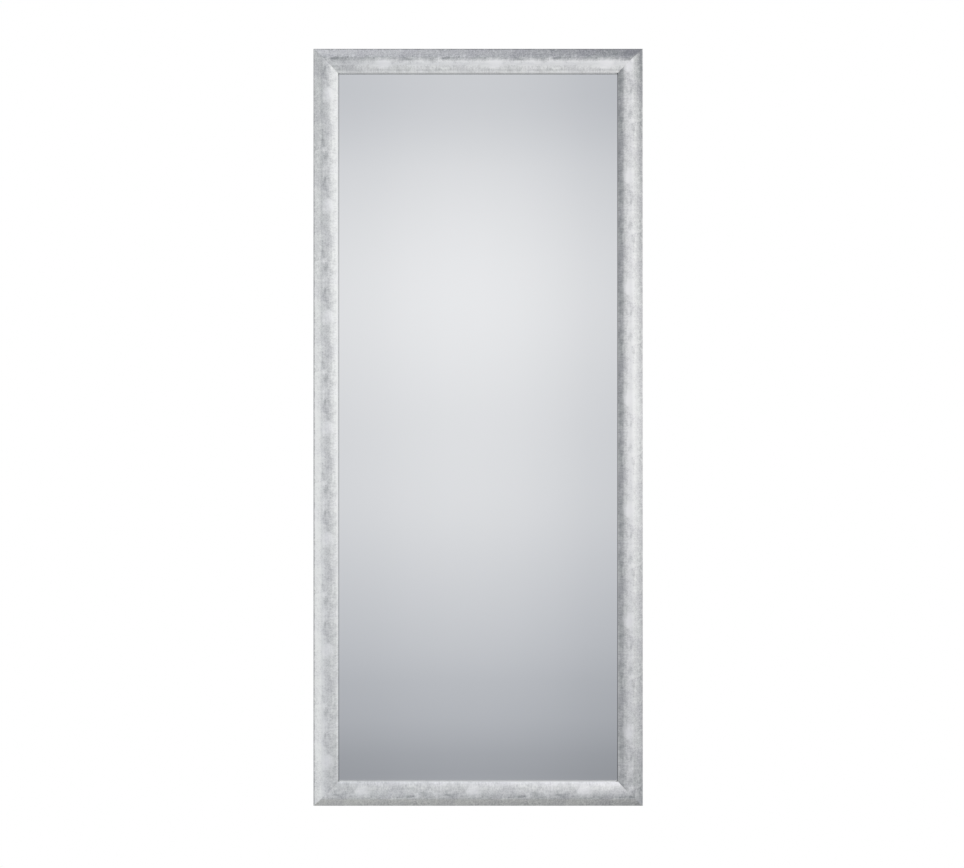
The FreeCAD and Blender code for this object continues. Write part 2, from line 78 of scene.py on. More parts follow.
class Graph:
    """A node tree written line by line: each call adds nodes and gives back their output."""

    def __init__(self, tree):
        tree.nodes.clear()
        self.tree = tree

    def feed(self, socket, value):
        """Link an output to a socket, or set the socket to a number, a vector or a colour."""
        if isinstance(value, bpy.types.NodeSocket):
            self.tree.links.new(value, socket)
        elif socket.type == "RGBA":
            socket.default_value = (*value, 1)
        else:
            socket.default_value = value

    def add(self, kind, inputs=(), output=0, **settings):
        node = self.tree.nodes.new(kind)
        for name, value in settings.items():
            setattr(node, name, value)
        pairs = inputs.items() if isinstance(inputs, dict) else enumerate(inputs)
        for key, value in pairs:
            self.feed(node.inputs[key], value)
        return node.outputs[output]

    def end(self, kind, surface):
        self.feed(self.tree.nodes.new(kind).inputs["Surface"], surface)

    def place(self):
        """Place of the shaded point in its object."""
        return self.add("ShaderNodeTexCoord", output="Object")

    def math(self, operation, *values, clamp=False):
        return self.add("ShaderNodeMath", values, operation=operation, use_clamp=clamp)

    def times(self, first, second):
        return self.math("MULTIPLY", first, second)

    def sum(self, first, *rest):
        for other in rest:
            first = self.math("ADD", first, other)
        return first

    def vector(self, operation, *values, output=0):
        return self.add("ShaderNodeVectorMath", values, operation=operation, output=output)

    def dot(self, vector, direction):
        return self.vector("DOT_PRODUCT", vector, direction, output="Value")

    def length(self, vector):
        return self.vector("LENGTH", vector, output="Value")

    def scaled(self, vector, *scale):
        return self.vector("MULTIPLY", vector, Vector(scale))

    def step(self, value, low, high, at_low=0.0, at_high=1.0):
        """Smooth step from at_low to at_high as value goes from low to high."""
        inputs = {
            "Value": value,
            "From Min": low,
            "From Max": high,
            "To Min": at_low,
            "To Max": at_high,
        }
        return self.add("ShaderNodeMapRange", inputs, interpolation_type="SMOOTHSTEP")

    def swing(self, noise, amount):
        """Noise about 0.5 as a number from -amount to amount."""
        return self.step(noise, 0.36, 0.64, -amount, amount)

    def noise(self, vector, size, detail=2.0, roughness=0.5, distortion=0.0, output="Fac"):
        """Noise about 0.5 whose features are about size metres across."""
        inputs = {
            "Vector": vector,
            "Scale": 1 / size,
            "Detail": detail,
            "Roughness": roughness,
            "Distortion": distortion,
        }
        return self.add("ShaderNodeTexNoise", inputs, output=output)

    def mix(self, amount, low, high):
        """Colour between two colours."""
        inputs = {"Factor": amount, "A_Color": low, "B_Color": high}
        node = self.tree.nodes.new("ShaderNodeMix")
        node.data_type = "RGBA"
        for socket in node.inputs:
            key = socket.identifier.replace("Factor_Float", "Factor")
            if key in inputs:
                self.feed(socket, inputs[key])
        return next(out for out in node.outputs if out.type == "RGBA")

    def blend(self, amount, low, high):
        """Number between two numbers."""
        return self.add("ShaderNodeMix", {"Factor": amount, "A": low, "B": high})

    def level(self, value, stops, low, high, interpolation):
        """Number that follows value through (position, number) stops, which lie from low to high."""
        packed = [(position, (number - low) / (high - low)) for position, number in stops]
        return self.math("MULTIPLY_ADD", self.ramp(value, packed, interpolation), high - low, low)

    def ramp(self, value, stops, interpolation="B_SPLINE"):
        """Colour or tone that follows value through (position, tone) stops, tones from 0 to 1."""
        node = self.tree.nodes.new("ShaderNodeValToRGB")
        self.feed(node.inputs[0], value)
        band = node.color_ramp
        band.interpolation = interpolation
        while len(band.elements) < len(stops):
            band.elements.new(1.0)
        for element, (position, tone) in zip(band.elements, stops):
            element.position = position
            element.color = (*tone, 1) if isinstance(tone, tuple) else (tone, tone, tone, 1)
        return node.outputs[0]


def new_material(name):
    material = bpy.data.materials.new(name)
    material.use_nodes = True
    return material, Graph(material.node_tree)


def finish_material(graph, bump=None, **inputs):
    """Principled shader with these inputs, and a bump of (height, distance) under it."""
    sockets = {name.replace("_", " "): value for name, value in inputs.items()}
    if bump:
        height, distance = bump
        sockets["Normal"] = graph.add("ShaderNodeBump", {"Height": height, "Distance": distance})
    surface = graph.add("ShaderNodeBsdfPrincipled", sockets)
    graph.end("ShaderNodeOutputMaterial", surface)


# Foil on the moulding

# The foil's print repeats along the moulding. A repeat's cloud lies here, along from the middle of
# each side, and the repeat starts this far before its cloud
FOIL_REPEAT = 233 * MM
FOIL_PLACE = {"top": 35 * MM, "right": -60 * MM, "bottom": 11 * MM, "left": -1 * MM}
REPEAT_START = 60 * MM

# Marks in one repeat, as (along from the cloud, inset), (half length, half width) and weight, in
# millimetres. The weight is above 0 where a mark is greyer than what is round it.
FOIL_MARKS = [
    ((0, 29), (27, 17), -0.24),
    ((12, 12), (11, 10), -0.12),
    ((20, 30), (5, 7), 0.20),
    ((56, 23), (8, 4), 0.14),
    ((77, 23), (11, 7), -0.14),
    ((90, 31), (8, 6), -0.14),
    ((104, 27), (15, 9), 0.17),
    ((103, 28), (9, 5), 0.10),
    ((117, 20), (6, 10), -0.22),
    ((128, 41), (10, 3), -0.18),
    ((137, 20), (21, 5), 0.18),
    ((138, 15.6), (19, 1.8), -0.22),
    ((-47, 28), (9, 11), 0.12),
    ((-21, 20), (6, 5), 0.12),
    ((-6, 15.6), (12, 1.6), 0.20),
    ((-6, 6), (12, 5), 0.12),
    ((160, 34), (14, 14), 0.07),
]

# In the same terms, the cloud, in which the grain is fainter, and the arch whose outer half shows
# as a thin grey rim
FOIL_CLOUD = ((0, 29), (30, 19))
FOIL_ARCH = ((45, 38), (16, 16))

# How many millimetres the print is lapped over the outer edge, and how strong its grain is near
# there, on upright rails and on level ones
UPRIGHT_PRINT = (1.5, 1.05)
LEVEL_PRINT = (3.5, 1.55)

# Silver, and the grey that the print and the painted shade darken it to, at these levels of a slow
# noise
TINT_LEVELS = (0.34, 0.5, 0.66)
SILVERS = ((0.957, 0.966, 0.950), (0.961, 0.965, 0.951), (0.959, 0.961, 0.958))
PRINT_AND_SHADE_GREYS = ((0.328, 0.347, 0.350), (0.331, 0.343, 0.355), (0.330, 0.338, 0.358))
COOL_SILVER = (0.966, 0.963, 0.973)
# Dark grey of the painted shade along the outer arris and on the inner wall
PAINTED_SHADE_GREY = (0.10, 0.102, 0.106)

# What the foil's colour is multiplied by at the mirror's left edge and at its right edge
LEFT_HUE, RIGHT_HUE = (0.993, 1, 1), (1.002, 1, 1)

# Insets, in millimetres, at which the painted shade close to a corner is set: outer edge, bevel,
# crest, crown and inner slope. Its full amount lies from the near distance to the rail's end, and it
# is gone at the far one.
CORNER_SHADE_INSETS = (0, 13, 19, 28, 38, 48)
CORNER_SHADE_NEAR, CORNER_SHADE_FAR = 60 * MM, 130 * MM


def foil_print(g, local, turns, inset, lap):
    """Marks of the print, with wavy outlines, and how far a point is in the repeat's cloud."""
    before = REPEAT_START / FOIL_REPEAT
    share = g.math("SUBTRACT", g.math("FRACT", g.math("ADD", turns, before)), before)
    along = g.times(share, FOIL_REPEAT / MM)
    inwards = g.math("SUBTRACT", g.math("DIVIDE", inset, MM), lap)
    wave = g.noise(local, 9 * MM, detail=3, roughness=0.6, output="Color")
    wave = g.vector("MULTIPLY_ADD", wave, Vector((10, 8, 0)), Vector((-5, -4, 0)))
    spot = g.vector("ADD", g.add("ShaderNodeCombineXYZ", (along, inwards, 0.0)), wave)

    def from_mark(centre, half):
        """Place measured from a mark's centre, in its half length and half width."""
        scale = Vector((1 / half[0], 1 / half[1], 0))
        shift = Vector((-centre[0] * scale.x, -centre[1] * scale.y, 0))
        return g.vector("MULTIPLY_ADD", spot, scale, shift)

    def mark(centre, half, outside=1.1, inside=0.15):
        return g.step(g.length(from_mark(centre, half)), outside, inside)

    marks = [g.times(mark(centre, half), weight) for centre, half, weight in FOIL_MARKS]
    arch = from_mark(*FOIL_ARCH)
    rim = g.math("ABSOLUTE", g.math("SUBTRACT", g.length(arch), 1.0))
    outer_half = g.step(g.dot(arch, Vector((-0.5, -0.85, 0))), -0.5, 0.1)
    rim = g.times(g.step(rim, 0.32, 0.05), outer_half)
    blotch = g.noise(local, 16 * MM, detail=4, roughness=0.55, distortion=0.4)
    printed = g.sum(*marks, g.times(rim, 0.16), g.swing(blotch, 0.07))
    return printed, mark(*FOIL_CLOUD, outside=1.0, inside=0.1)


def foil_grain(g, local, cloud, across, near_edge):
    """Grain of the foil, fainter in the cloud and on the inner slope, and its relief."""
    speckle = g.noise(local, 5.2 * MM, detail=3, roughness=0.6)
    grain = g.noise(local, 2.4 * MM, roughness=0.6)
    crosswise = g.noise(g.scaled(local, 1, 1, 0.12), 3.6 * MM)
    lengthwise = g.noise(g.scaled(local, 0.1, 0.1, 1), 3.0 * MM)
    fine = g.sum(
        g.swing(speckle, 0.07),
        g.swing(grain, 0.11),
        g.swing(crosswise, 0.035),
        g.swing(lengthwise, 0.05),
    )
    fine = g.times(fine, g.blend(cloud, 1.0, 0.5))
    fine = g.times(fine, across([(0, near_edge), (18, near_edge), (24, 1), (40, 1), (46, 0.8)]))
    return fine, g.sum(g.times(speckle, 0.6), g.times(grain, 0.4))


def foil_painted_shading(g, run, half_length, across, painted_shading, corners):
    """Painted shade and painted highlight that change slowly from the rail's start to its middle and
    its end, with the painted shade added close to its two corners."""
    start, middle, end = (across([(stop[0], stop[i]) for stop in painted_shading]) for i in (1, 2, 3))
    painted_tone = g.blend(g.math("MULTIPLY", run, -1 / half_length, clamp=True), middle, start)
    painted_tone = g.blend(g.math("MULTIPLY", run, 1 / half_length, clamp=True), painted_tone, end)
    # Painted shade added close to each of the rail's two corners
    for way, corner_shade_added in zip((-1, 1), corners):
        near_corner = g.step(g.times(run, way), half_length - CORNER_SHADE_FAR, half_length - CORNER_SHADE_NEAR)
        painted_tone = g.sum(painted_tone, g.times(near_corner, across(list(zip(CORNER_SHADE_INSETS, corner_shade_added)))))
    return painted_tone


def foil_colour(g, place, local, amount, cool):
    """Silver, cooler on the crown, to grey where the print and the painted shade lie, and greener on
    the left.
    """
    tint = g.noise(local, 30 * MM)
    silver = g.mix(cool, g.ramp(tint, list(zip(TINT_LEVELS, SILVERS))), COOL_SILVER)
    colour = g.mix(amount, silver, g.ramp(tint, list(zip(TINT_LEVELS, PRINT_AND_SHADE_GREYS))))
    drift = g.step(g.dot(place, X), -HALF_WIDTH, HALF_WIDTH)
    return g.vector("MULTIPLY", colour, g.mix(drift, LEFT_HUE, RIGHT_HUE))


def foil(side, painted_shading, corners, line, arris_shade, wall):
    """Silver foil with a printed mottle and a grey painted shade, which is a painted highlight below
    0.
    painted_shading says how much lies at each inset from the outer edge, as (millimetres, at the
    rail's start, middle and end). corners is how much more painted shade lies close to its start and
    its end, at CORNER_SHADE_INSETS. line is how strong the broken line along the crest is, and
    arris_shade and wall are how dark the painted shade is along the outer arris and on the wall beside
    the pane."""
    material, g = new_material(f"silver_foil_{side}")
    outwards, along = SIDES[side]
    reach, half_length = side_reach(side)
    lap, near_edge = UPRIGHT_PRINT if side in UPRIGHT else LEVEL_PRINT
    place = g.place()
    inset = g.math("SUBTRACT", reach, g.dot(place, outwards))
    run = g.dot(place, along)
    depth = g.dot(place, -Y)

    # The print is looked up on a drum of one repeat's girth, so it meets itself. Depth counts in
    # part as inset, so that it goes on down the walls.
    turns = g.math("DIVIDE", g.math("SUBTRACT", run, FOIL_PLACE[side]), FOIL_REPEAT)
    angle = g.times(turns, 2 * math.pi)
    drum = FOIL_REPEAT / (2 * math.pi)
    local = g.add("ShaderNodeCombineXYZ", (
        g.times(g.math("COSINE", angle), drum),
        g.times(g.math("SINE", angle), drum),
        g.math("MULTIPLY_ADD", depth, 0.6, inset),
    ))
    waver = g.math("MULTIPLY_ADD", g.noise(local, 12 * MM), 4 * MM, -2 * MM)
    wavering = g.math("DIVIDE", g.math("ADD", inset, waver), PROFILE_WIDTH)

    def across(stops):
        """Tone by inset, along lines that waver a little."""
        stops = [(inset_mm * MM / PROFILE_WIDTH, tone) for inset_mm, tone in stops]
        return g.level(wavering, stops, -1, 2, "EASE")

    printed, cloud = foil_print(g, local, turns, inset, lap)
    fine, relief = foil_grain(g, local, cloud, across, near_edge)
    # Painted shade and highlight along and across the rail
    painted_tone = foil_painted_shading(g, run, half_length, across, painted_shading, corners)
    broken = g.step(g.noise(g.scaled(local, 0.6, 0.6, 1), 9 * MM, detail=3), 0.38, 0.6)
    crest_line = g.times(across([(14.5, 0), (17, line), (18, line), (20.5, 0)]), broken)

    # Where the sum is below 0, the foil gets a painted highlight: less of a metal, and lighter
    print_and_painted_shade = g.sum(painted_tone, printed, fine, crest_line)
    amount = g.math("MULTIPLY", print_and_painted_shade, 1.0, clamp=True)
    painted_highlight = g.math("MULTIPLY", print_and_painted_shade, -1.0, clamp=True)
    cool = g.math("MAXIMUM", cloud, across([(18, 0), (25, 0.5), (34, 0.5), (40, 0)]))
    colour = foil_colour(g, place, local, amount, cool)

    # Along the outer arris and down the inner wall the foil is darkened by a painted shade
    normal = g.add("ShaderNodeNewGeometry", output="Normal")
    inner_wall_shade = g.step(g.dot(normal, -outwards), 0.9, 0.99, 0.0, wall)
    arris = g.step(g.dot(normal, outwards), 0.62, 0.72, 0.0, arris_shade)
    arris = g.times(arris, g.step(depth, 17.0 * MM, 18.2 * MM))
    colour = g.mix(g.math("MAXIMUM", inner_wall_shade, arris), colour, PAINTED_SHADE_GREY)

    # The foil is turned over the back edge, where it ends in a ragged line on the raw board
    faces_back = g.step(g.dot(normal, Y), 0.85, 0.95)
    ragged = g.sum(inset, g.times(g.noise(local, 6 * MM, detail=3), 4 * MM))
    bare = g.times(faces_back, g.step(ragged, 7.8 * MM, 8.4 * MM))
    finish_material(
        g,
        bump=(relief, 0.1 * MM),
        Base_Color=g.mix(bare, colour, fibreboard_colour(g, place)),
        Metallic=g.blend(bare, g.math("SUBTRACT", 0.95, painted_highlight), 0.0),
        Roughness=g.sum(g.times(amount, 0.12), g.blend(bare, 0.32, 0.85)),
    )
    return material


# Other materials

# How dark and how wide the painted shadow and reflection line round the pane is on each side, and
# over what width it fades in
PANE_SHADE_LINES = {
    "top": (0.5, 1.9 * MM),
    "right": (0.5, 1.5 * MM),
    "bottom": (0.45, 1.3 * MM),
    "left": (0.45, 2.0 * MM),
}
PANE_SHADE_FADE = 0.6 * MM
PANE_SHADE_GREY = (0.12, 0.125, 0.13)

# Imprint on the hardboard, and how far the roughness of plain stuff swings either way
SCREEN_PITCH = 1.4 * MM
ROUGHNESS_SWING = 0.08


def fibreboard_colour(g, place):
    """Raw fibreboard: pale brown, with fine fibres lying every way and darker flecks."""
    fibres = g.noise(place, 1.6 * MM, detail=5, roughness=0.75, distortion=1.2)
    flecks = g.step(g.noise(place, 0.7 * MM), 0.62, 0.75)
    cloud = g.noise(place, 50 * MM)
    colour = g.mix(g.step(fibres, 0.3, 0.7), (0.46, 0.33, 0.21), (0.60, 0.46, 0.32))
    colour = g.mix(g.times(flecks, 0.5), colour, (0.27, 0.18, 0.11))
    return g.mix(g.times(cloud, 0.3), colour, (0.50, 0.38, 0.27))


def raw_board():
    material, g = new_material("raw_fibreboard")
    place = g.place()
    rough = g.noise(place, 0.9 * MM, detail=4, roughness=0.7)
    colour = fibreboard_colour(g, place)
    finish_material(g, bump=(rough, 0.2 * MM), Base_Color=colour, Roughness=0.86)
    return material


def hardboard():
    """Brown hardboard, rough side out: pressed fibres under the imprint of the press's screen,
    with damp-looking clouds, pale flecks and a few scuffs, and painted shade in the imprint's hollows."""
    material, g = new_material("hardboard")
    place = g.place()
    waver = g.noise(place, 25 * MM, output="Color")
    waver = g.vector("MULTIPLY_ADD", waver, (X + Z) * 1.2 * MM, place)
    threads = [
        g.math("ABSOLUTE", g.math("SINE", g.dot(waver, axis * math.pi / SCREEN_PITCH)))
        for axis in (X, Z)
    ]
    screen = g.times(*threads)
    fibres = g.step(g.noise(place, 1.4 * MM, detail=5, roughness=0.7, distortion=1.0), 0.3, 0.7)
    flecks = g.step(g.noise(place, 0.9 * MM), 0.6, 0.72)
    cloud = g.step(g.noise(place, 150 * MM, detail=4, distortion=0.6), 0.32, 0.68)
    patch = g.step(g.noise(place, 30 * MM, detail=3), 0.35, 0.65)
    scuff = g.step(g.noise(g.scaled(place, 1, 1, 0.06), 4 * MM), 0.66, 0.78)
    scuff = g.times(scuff, g.step(g.noise(place, 220 * MM), 0.5, 0.62))
    colour = g.mix(fibres, (0.20, 0.122, 0.068), (0.30, 0.195, 0.118))
    colour = g.mix(g.times(cloud, 0.5), colour, (0.185, 0.112, 0.062))
    colour = g.mix(g.times(patch, 0.3), colour, (0.33, 0.215, 0.132))
    colour = g.mix(g.times(flecks, 0.4), colour, (0.40, 0.28, 0.18))
    colour = g.mix(g.times(scuff, 0.45), colour, (0.43, 0.31, 0.21))
    # Painted shade in the hollows of the screen's imprint
    colour = g.mix(g.step(screen, 0.0, 0.5, 0.28, 0.0), colour, (0.14, 0.085, 0.048))
    relief = g.sum(g.times(screen, 0.7), g.times(fibres, 0.3))
    roughness = g.blend(fibres, 0.58, 0.70)
    finish_material(g, bump=(relief, 0.25 * MM), Base_Color=colour, Roughness=roughness)
    return material


def silvering():
    """Mirror seen from the front: a bright metal with a trace of colour and of float-glass wave,
    and a thin dark line painted along its edges: the painted shadow and painted reflection of the
    moulding's lip."""
    material, g = new_material("silvered_pane")
    place = g.place()
    wave = g.noise(g.scaled(place, 0.4, 1, 1), 450 * MM, detail=1)
    haze = g.noise(place, 90 * MM, detail=3)
    colour = g.mix(haze, (0.925, 0.935, 0.94), (0.935, 0.94, 0.95))
    # Thin line of painted shadow and painted reflection of the lip along each side
    for side, (strength, width) in PANE_SHADE_LINES.items():
        start = side_reach(side)[0] - PROFILE_WIDTH - width
        edge = g.dot(place, SIDES[side][0])
        line = g.step(edge, start, start + PANE_SHADE_FADE, 0.0, strength)
        colour = g.mix(line, colour, PANE_SHADE_GREY)
    roughness = g.step(haze, 0.3, 0.8, 0.01, 0.03)
    finish_material(g, bump=(wave, 0.01 * MM), Base_Color=colour, Metallic=1.0, Roughness=roughness)
    return material


def zinc_plate():
    """Bright zinc on steel, with fine scratches and dull patches."""
    material, g = new_material("zinc_plate")
    place = g.place()
    grain = g.step(g.noise(place, 1.1 * MM, detail=3), 0.3, 0.7)
    patch = g.step(g.noise(place, 6 * MM, detail=3), 0.35, 0.7)
    scratch = g.noise(g.scaled(place, 1, 1, 0.08), 0.6 * MM)
    colour = g.mix(grain, (0.62, 0.635, 0.66), (0.70, 0.715, 0.73))
    colour = g.mix(g.times(patch, 0.5), colour, (0.52, 0.53, 0.545))
    roughness = g.sum(g.times(patch, 0.14), g.times(grain, 0.06), 0.18)
    finish_material(g, bump=(scratch, 0.01 * MM), Base_Color=colour, Metallic=1.0, Roughness=roughness)
    return material


def mottled(name, size, dark, light, roughness, metallic=0.0, height=0.1 * MM):
    """Plain stuff whose colour, shine and relief vary at a size."""
    material, g = new_material(name)
    place = g.place()
    coarse = g.noise(place, size * 6)
    fine = g.noise(place, size, detail=4, roughness=0.65)
    mixed = g.sum(g.times(fine, 0.65), g.times(coarse, 0.35))
    finish_material(
        g,
        bump=(fine, height),
        Base_Color=g.mix(g.step(mixed, 0.35, 0.65), dark, light),
        Metallic=metallic,
        Roughness=g.step(mixed, 0.3, 0.7, roughness - ROUGHNESS_SWING, roughness + ROUGHNESS_SWING),
    )
    return material


# Meshes and objects

def circle(sides):
    """Cosine and sine at each corner of a regular polygon."""
    turns = [2 * math.pi * k / sides for k in range(sides)]
    return [(math.cos(t), math.sin(t)) for t in turns]


def bridge(bm, first, second, slots=None):
    """Faces between two loops of corners, in the material slots given."""
    count = len(first)
    for k in range(count):
        j = (k + 1) % count
        face = bm.faces.new((first[k], first[j], second[j], second[k]))
        if slots:
            face.material_index = slots[k]


def add_object(name, data, place=(0, 0, 0)):
    """New object in the scene, at a place."""
    thing = bpy.data.objects.new(name, data)
    thing.location = place
    bpy.context.scene.collection.objects.link(thing)
    return thing


def new_piece(name, bm, materials, body, replaced, sharp=30):
    """Object from a finished bmesh, which rides on a body and stands for a CAD node."""
    bmesh.ops.recalc_face_normals(bm, faces=bm.faces)
    mesh = bpy.data.meshes.new(name)
    bm.to_mesh(mesh)
    bm.free()
    for material in materials:
        mesh.materials.append(material)
    for face in mesh.polygons:
        face.use_smooth = True
    mesh.set_sharp_from_angle(angle=math.radians(sharp))
    piece = add_object(name, mesh)
    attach(piece, body)
    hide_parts(replaced)


# Moulding

# Section of the moulding, as the CAD draws it
FACE_DEPTH = 34.5 * MM
EDGE_DEPTH = 20 * MM
BEVEL_WIDTH = 19 * MM
CREST_INSET = 25 * MM
LIP_THICKNESS = 6.4 * MM
REBATE_WIDTH = 7 * MM
BACK_CHAMFER = 1 * MM
ARRIS_RADIUS = 2.5 * MM
CREST_RADIUS = 15 * MM
LIP_RADIUS = 2 * MM

# Where the foil's slot ends on the back
FOIL_TURN = 9 * MM

# Groove along each mitre: how deep it is, how far a rail's end stands off the mitre at its bottom,
# and how far at its edge
GROOVE_DEPTH = 0.25 * MM
GROOVE_GAP = 0.03 * MM
GROOVE_HALF_WIDTH = 0.3 * MM

# Spans of a rail's mesh along its length
RAIL_SPANS = 12


def arc(centre, radius, start, end, steps):
    """Points on an arc of the section. Each angle is the tilt of the surface there from straight
    ahead, positive towards the outer edge."""
    tilts = [start + (end - start) * step / steps for step in range(steps + 1)]
    return [(centre[0] - radius * math.sin(t), centre[1] + radius * math.cos(t)) for t in tilts]


def section():
    """Corners of the section as (inset, depth), and the material slot of the run after each."""
    lip_depth = LEDGE_DEPTH + LIP_THICKNESS
    reach, drop = PROFILE_WIDTH - CREST_INSET, FACE_DEPTH - lip_depth
    crown_radius = (reach ** 2 / drop + drop) / 2
    crown = (CREST_INSET, FACE_DEPTH - crown_radius)
    brow_depth = crown[1] + math.sqrt(crown_radius ** 2 - (CREST_INSET - BEVEL_WIDTH) ** 2)
    slope = math.atan2(brow_depth - EDGE_DEPTH, BEVEL_WIDTH)

    # Round between the outer wall and the bevel
    arris_depth = EDGE_DEPTH - ARRIS_RADIUS * (1 - math.sin(slope)) / math.cos(slope)
    arris = (ARRIS_RADIUS, arris_depth)

    # Round between the bevel and the crown, touching both
    height = (crown[1] - EDGE_DEPTH) * math.cos(slope) - crown[0] * math.sin(slope)
    meet = slope - math.acos((-CREST_RADIUS - height) / (crown_radius - CREST_RADIUS))
    crest = arc(crown, crown_radius - CREST_RADIUS, meet, meet, 1)[0]

    # Round between the crown and the lip
    fall = -math.asin((reach - LIP_RADIUS) / (crown_radius - LIP_RADIUS))
    lip = arc(crown, crown_radius - LIP_RADIUS, fall, fall, 1)[0]

    points = [(0.0, BACK_DEPTH + BACK_CHAMFER)]
    points += arc(arris, ARRIS_RADIUS, math.pi / 2, slope, 10)
    points += arc(crest, CREST_RADIUS, slope, meet, 12)
    points += arc(crown, crown_radius, meet, fall, 28)[1:]
    points += arc(lip, LIP_RADIUS, fall, -math.pi / 2, 10)[1:]
    points.append((PROFILE_WIDTH, LEDGE_DEPTH))
    slots = [0] * (len(points) - 1)
    points += [
        (PROFILE_WIDTH - REBATE_WIDTH, LEDGE_DEPTH),
        (PROFILE_WIDTH - REBATE_WIDTH, BACK_DEPTH),
        (FOIL_TURN, BACK_DEPTH),
        (BACK_CHAMFER, BACK_DEPTH),
    ]
    return points, slots + [1, 1, 1, 0, 0]


def sunk(points, by):
    """The section drawn in by a little all round."""
    count = len(points)
    drawn = []
    for i, (u, d) in enumerate(points):
        (u0, d0), (u1, d1) = points[i - 1], points[(i + 1) % count]
        run = math.hypot(u1 - u0, d1 - d0)
        drawn.append((u + by * (d1 - d0) / run, d - by * (u1 - u0) / run))
    return drawn


def make_rail(side, materials):
    """One length of moulding. A fine groove marks where its mitre meets the next."""
    outwards, along = SIDES[side]
    reach, half_length = side_reach(side)
    points, slots = section()
    groove = sunk(points, GROOVE_DEPTH)
    stations = [(groove, -1.0, GROOVE_GAP)]
    stations += [(points, 2 * i / RAIL_SPANS - 1, GROOVE_HALF_WIDTH) for i in range(RAIL_SPANS + 1)]
    stations += [(groove, 1.0, GROOVE_GAP)]
    bm = bmesh.new()
    rings = []
    for outline, share, gap in stations:
        ring = []
        for inset, depth in outline:
            run = share * (half_length - inset - gap)
            ring.append(bm.verts.new(along * run + outwards * (reach - inset) - Y * depth))
        rings.append(ring)
    for first, second in zip(rings, rings[1:]):
        bridge(bm, first, second, slots)
    for ring in (rings[0], rings[-1]):
        bm.faces.new(ring).material_index = 1
    new_piece(f"moulding_{side}", bm, materials, "mirror", f"frame_rail_{side}")


# Hangers and bumpers

# Ring, as the CAD draws it: a straight bar in the strap's eye, corners, short sides and a bow
WIRE_RADIUS = 1.5 * MM
WIRE_SIDES = 20
RING_HALF_WIDTH = 11.5 * MM
RING_CORNER = 3.5 * MM
RING_SIDE = 2.5 * MM
RING_CORNER_STEPS = 8
RING_BOW_STEPS = 48

# Pan-head screw with a cross recess. It tapers over the length of its point, and its thread stops
# short of its tip.
SCREW_HEAD_RADIUS = 3.5 * MM
SCREW_HEAD_HEIGHT = 2.2 * MM
SCREW_CROWN_RADIUS = 2.4 * MM
SCREW_CROWN_DROP = 0.12 * MM
SCREW_CROWN_STEPS = 12
SCREW_SHOULDER = (1.1 * MM, 1.2 * MM)
SCREW_SHOULDER_STEPS = 8
SCREW_SHANK_RADIUS = 1.75 * MM
SCREW_PLAIN_SHANK = 2.8 * MM
SCREW_THREAD_PITCH = 1.25 * MM
SCREW_THREAD_ROOT = 0.72
SCREW_THREAD_STOP = 0.6 * MM
SCREW_POINT = 4 * MM
SCREW_SIDES = 56
RECESS_DEPTH = 1.1 * MM
RECESS_HALF_WIDTH = (0.32 * MM, 0.62 * MM)
RECESS_REACH = (1.3 * MM, 2.2 * MM)
STRAP_HOLE_PITCH = 20.5 * MM

# Bumper: how far its wall draws in from its foot to its shoulder, and the shoulder's radius
BUMPER_TAPER = 1.1 * MM
BUMPER_SHOULDER = 1.4 * MM
BUMPER_SHOULDER_STEPS = 8
BUMPER_SIDES = 48


def ring_path():
    """Centre line of the ring's wire, from the middle of its bar, as (x, z) from the bar."""
    bow_z = RING_CORNER + RING_SIDE

    def bend(x, z, radius, start, turn, steps):
        angles = [math.radians(start + turn * i / steps) for i in range(steps + 1)]
        return [(x + radius * math.cos(t), z + radius * math.sin(t)) for t in angles]

    inner = RING_HALF_WIDTH - RING_CORNER
    path = [(inner * i / 3, 0.0) for i in range(-2, 3)]
    path += bend(inner, RING_CORNER, RING_CORNER, -90, 90, RING_CORNER_STEPS)
    path += bend(0, bow_z, RING_HALF_WIDTH, 0, 180, RING_BOW_STEPS)
    path += bend(-inner, RING_CORNER, RING_CORNER, 180, 90, RING_CORNER_STEPS)
    return path


def make_ring(side, material):
    """Round wire of one ring, closed at a weld that the strap hides."""
    low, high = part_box(f"hanger_ring_{side}")
    middle = Vector(((low.x + high.x) / 2, (low.y + high.y) / 2, low.z + WIRE_RADIUS))
    path = [middle + X * x + Z * z for x, z in ring_path()]
    count = len(path)
    bm = bmesh.new()
    loops = []
    for i, point in enumerate(path):
        forward = (path[(i + 1) % count] - path[i - 1]).normalized()
        across = forward.cross(Y)
        spokes = [across * cos + Y * sin for cos, sin in circle(WIRE_SIDES)]
        loops.append([bm.verts.new(point + spoke * WIRE_RADIUS) for spoke in spokes])
    for i, loop in enumerate(loops):
        bridge(bm, loop, loops[(i + 1) % count])
    name, node = f"ring_wire_{side}", f"hanger_ring_{side}"
    new_piece(name, bm, [material], f"ring_{side}", node, sharp=60)


def turned(bm, centre, profile, sides, relief=None):
    """Closed form turned about a line through centre along Y. profile is (radius, y) from one end
    on the axis to the other, and relief moves a point at (x, y, z) from the centre along Y."""
    def point(x, y, z):
        lift = relief(x, y, z) if relief else 0.0
        return bm.verts.new(centre + Vector((x, y + lift, z)))

    first = point(0, profile[0][1], 0)
    last = point(0, profile[-1][1], 0)
    loops = []
    for radius, y in profile[1:-1]:
        loops.append([point(radius * cos, y, radius * sin) for cos, sin in circle(sides)])
    for one, other in zip(loops, loops[1:]):
        bridge(bm, one, other)
    for k in range(sides):
        j = (k + 1) % sides
        bm.faces.new((first, loops[0][j], loops[0][k]))
        bm.faces.new((last, loops[-1][k], loops[-1][j]))


def smooth_step(value, low, high):
    t = min(1.0, max(0.0, (value - low) / (high - low)))
    return t * t * (3 - 2 * t)


